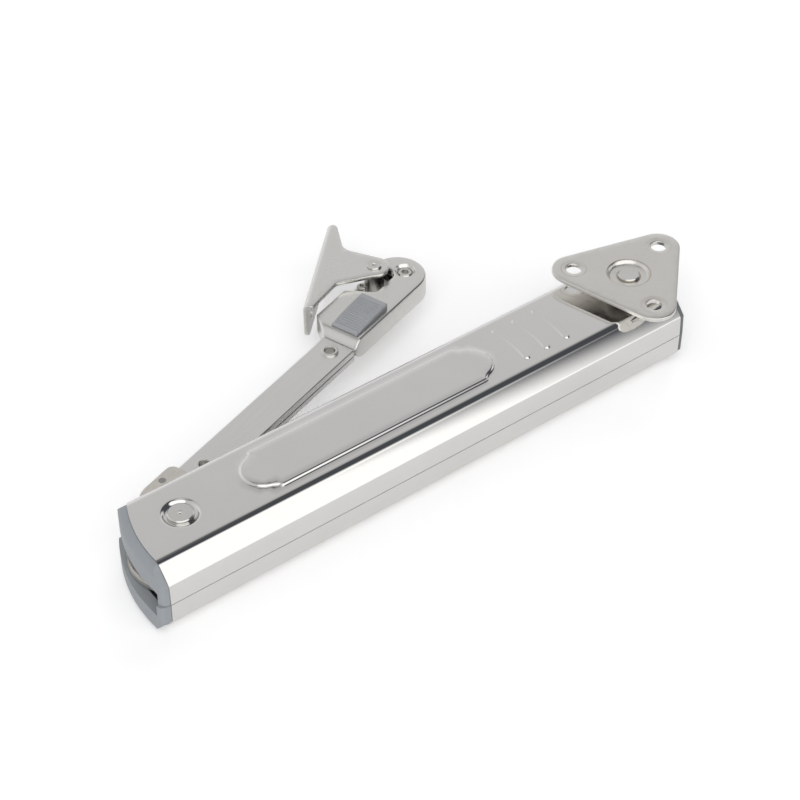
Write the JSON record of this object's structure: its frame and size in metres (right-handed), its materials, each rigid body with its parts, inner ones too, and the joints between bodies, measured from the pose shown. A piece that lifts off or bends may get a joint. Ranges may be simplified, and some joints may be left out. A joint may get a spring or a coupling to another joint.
{
  "type": "lid stay",
  "caption": "Sprung cabinet lid stay: polished two-shell housing swivelling under a triangular screw plate, cam-rooted swing arm, button-release head and folding door bracket.",
  "frame": {"origin": "centre of the mounting plate's three screw holes, on the plate's fixing face", "axes": "+X along the housing from the arm's pivot to the plate, +Y to the arm's side, +Z out of the plate's fixing face"},
  "size_m": [0.225, 0.1201, 0.0325],
  "materials": {
    "polished_steel": "polished pressed stainless sheet",
    "cap_plastic": "satin grey",
    "nickel_plate": "satin nickel",
    "arm_steel": "satin",
    "root_steel": "greased, warm grey",
    "head_steel": "satin",
    "rivet_steel": "turned and plated",
    "button_plastic": "light grey, satin",
    "inner_plastic": "dark moulded",
    "spring_steel": "oiled spring wire",
    "bush_brass": "turned"
  },
  "bodies": {
    "plate": {"mount_plate": "nickel_plate"},
    "housing": {"upper_shell": "polished_steel", "lower_shell": "polished_steel", "left_cap_upper": "cap_plastic", "left_cap_lower": "cap_plastic", "right_cap_upper": "cap_plastic", "right_cap_lower": "cap_plastic", "pivot_rivet": "rivet_steel", "pivot_bush_upper": "inner_plastic", "pivot_bush_lower": "inner_plastic", "plate_rivet": "rivet_steel", "plate_washer": "rivet_steel", "plate_spacer": "rivet_steel", "spring_abutment": "inner_plastic", "main_spring": "spring_steel"},
    "arm": {"root_plate_upper": "root_steel", "root_plate_lower": "root_steel", "root_core": "root_steel", "arm_strip_upper": "arm_steel", "arm_strip_lower": "arm_steel", "root_pin": "bush_brass", "arm_rivet_near": "rivet_steel", "arm_rivet_far": "rivet_steel", "head_base": "head_steel", "head_cover": "head_steel", "hub_bush": "bush_brass", "bracket_pin": "rivet_steel", "catch_pin": "rivet_steel", "return_spring": "spring_steel"},
    "follower": {"follower_carriage": "inner_plastic", "roller_pin": "rivet_steel", "guide_rod": "spring_steel"},
    "roller": {"cam_roller": "rivet_steel"},
    "button": {"release_button": "button_plastic", "latch_slide": "arm_steel"},
    "adjuster": {"adjusting_screw": "rivet_steel"},
    "bracket": {"door_bracket": "head_steel"}
  },
  "joints": [
    {"name": "housing_swivel", "type": "hinge", "parent": "plate", "child": "housing", "pos_m": [0, 0, 0], "axis": [0, 0, 1], "continuous": true},
    {"name": "arm_swing", "type": "hinge", "parent": "housing", "child": "arm", "pos_m": [-0.1795, 0, -0.0185], "axis": [0, 0, 1], "range_deg": [-8, 105]},
    {"name": "follower_slide", "type": "slide", "parent": "housing", "child": "follower", "axis": [1, 0, 0], "range_m": [-0.0056, 0.0005], "deforming": ["main_spring"]},
    {"name": "roller_spin", "type": "hinge", "parent": "follower", "child": "roller", "pos_m": [-0.161, 0, -0.0185], "axis": [0, 0, 1], "continuous": true},
    {"name": "bracket_fold", "type": "hinge", "parent": "arm", "child": "bracket", "pos_m": [-0.05754, 0.0657, -0.0185], "axis": [0, 0, 1], "range_deg": [-115, 0]},
    {"name": "button_slide", "type": "slide", "parent": "arm", "child": "button", "axis": [0.9511, 0.309, 0], "range_m": [0, 0.0025], "stiffness_N_per_m": 600, "springref_m": -0.001, "deforming": ["return_spring"]},
    {"name": "adjuster_turn", "type": "hinge", "parent": "arm", "child": "adjuster", "pos_m": [-0.04818, 0.06054, -0.0185], "axis": [0, 0, 1], "continuous": true}
  ],
  "couplings": [
    {"joint": "follower_slide", "follows": "arm_swing", "m_per_rad": -0.0030012}
  ]
}
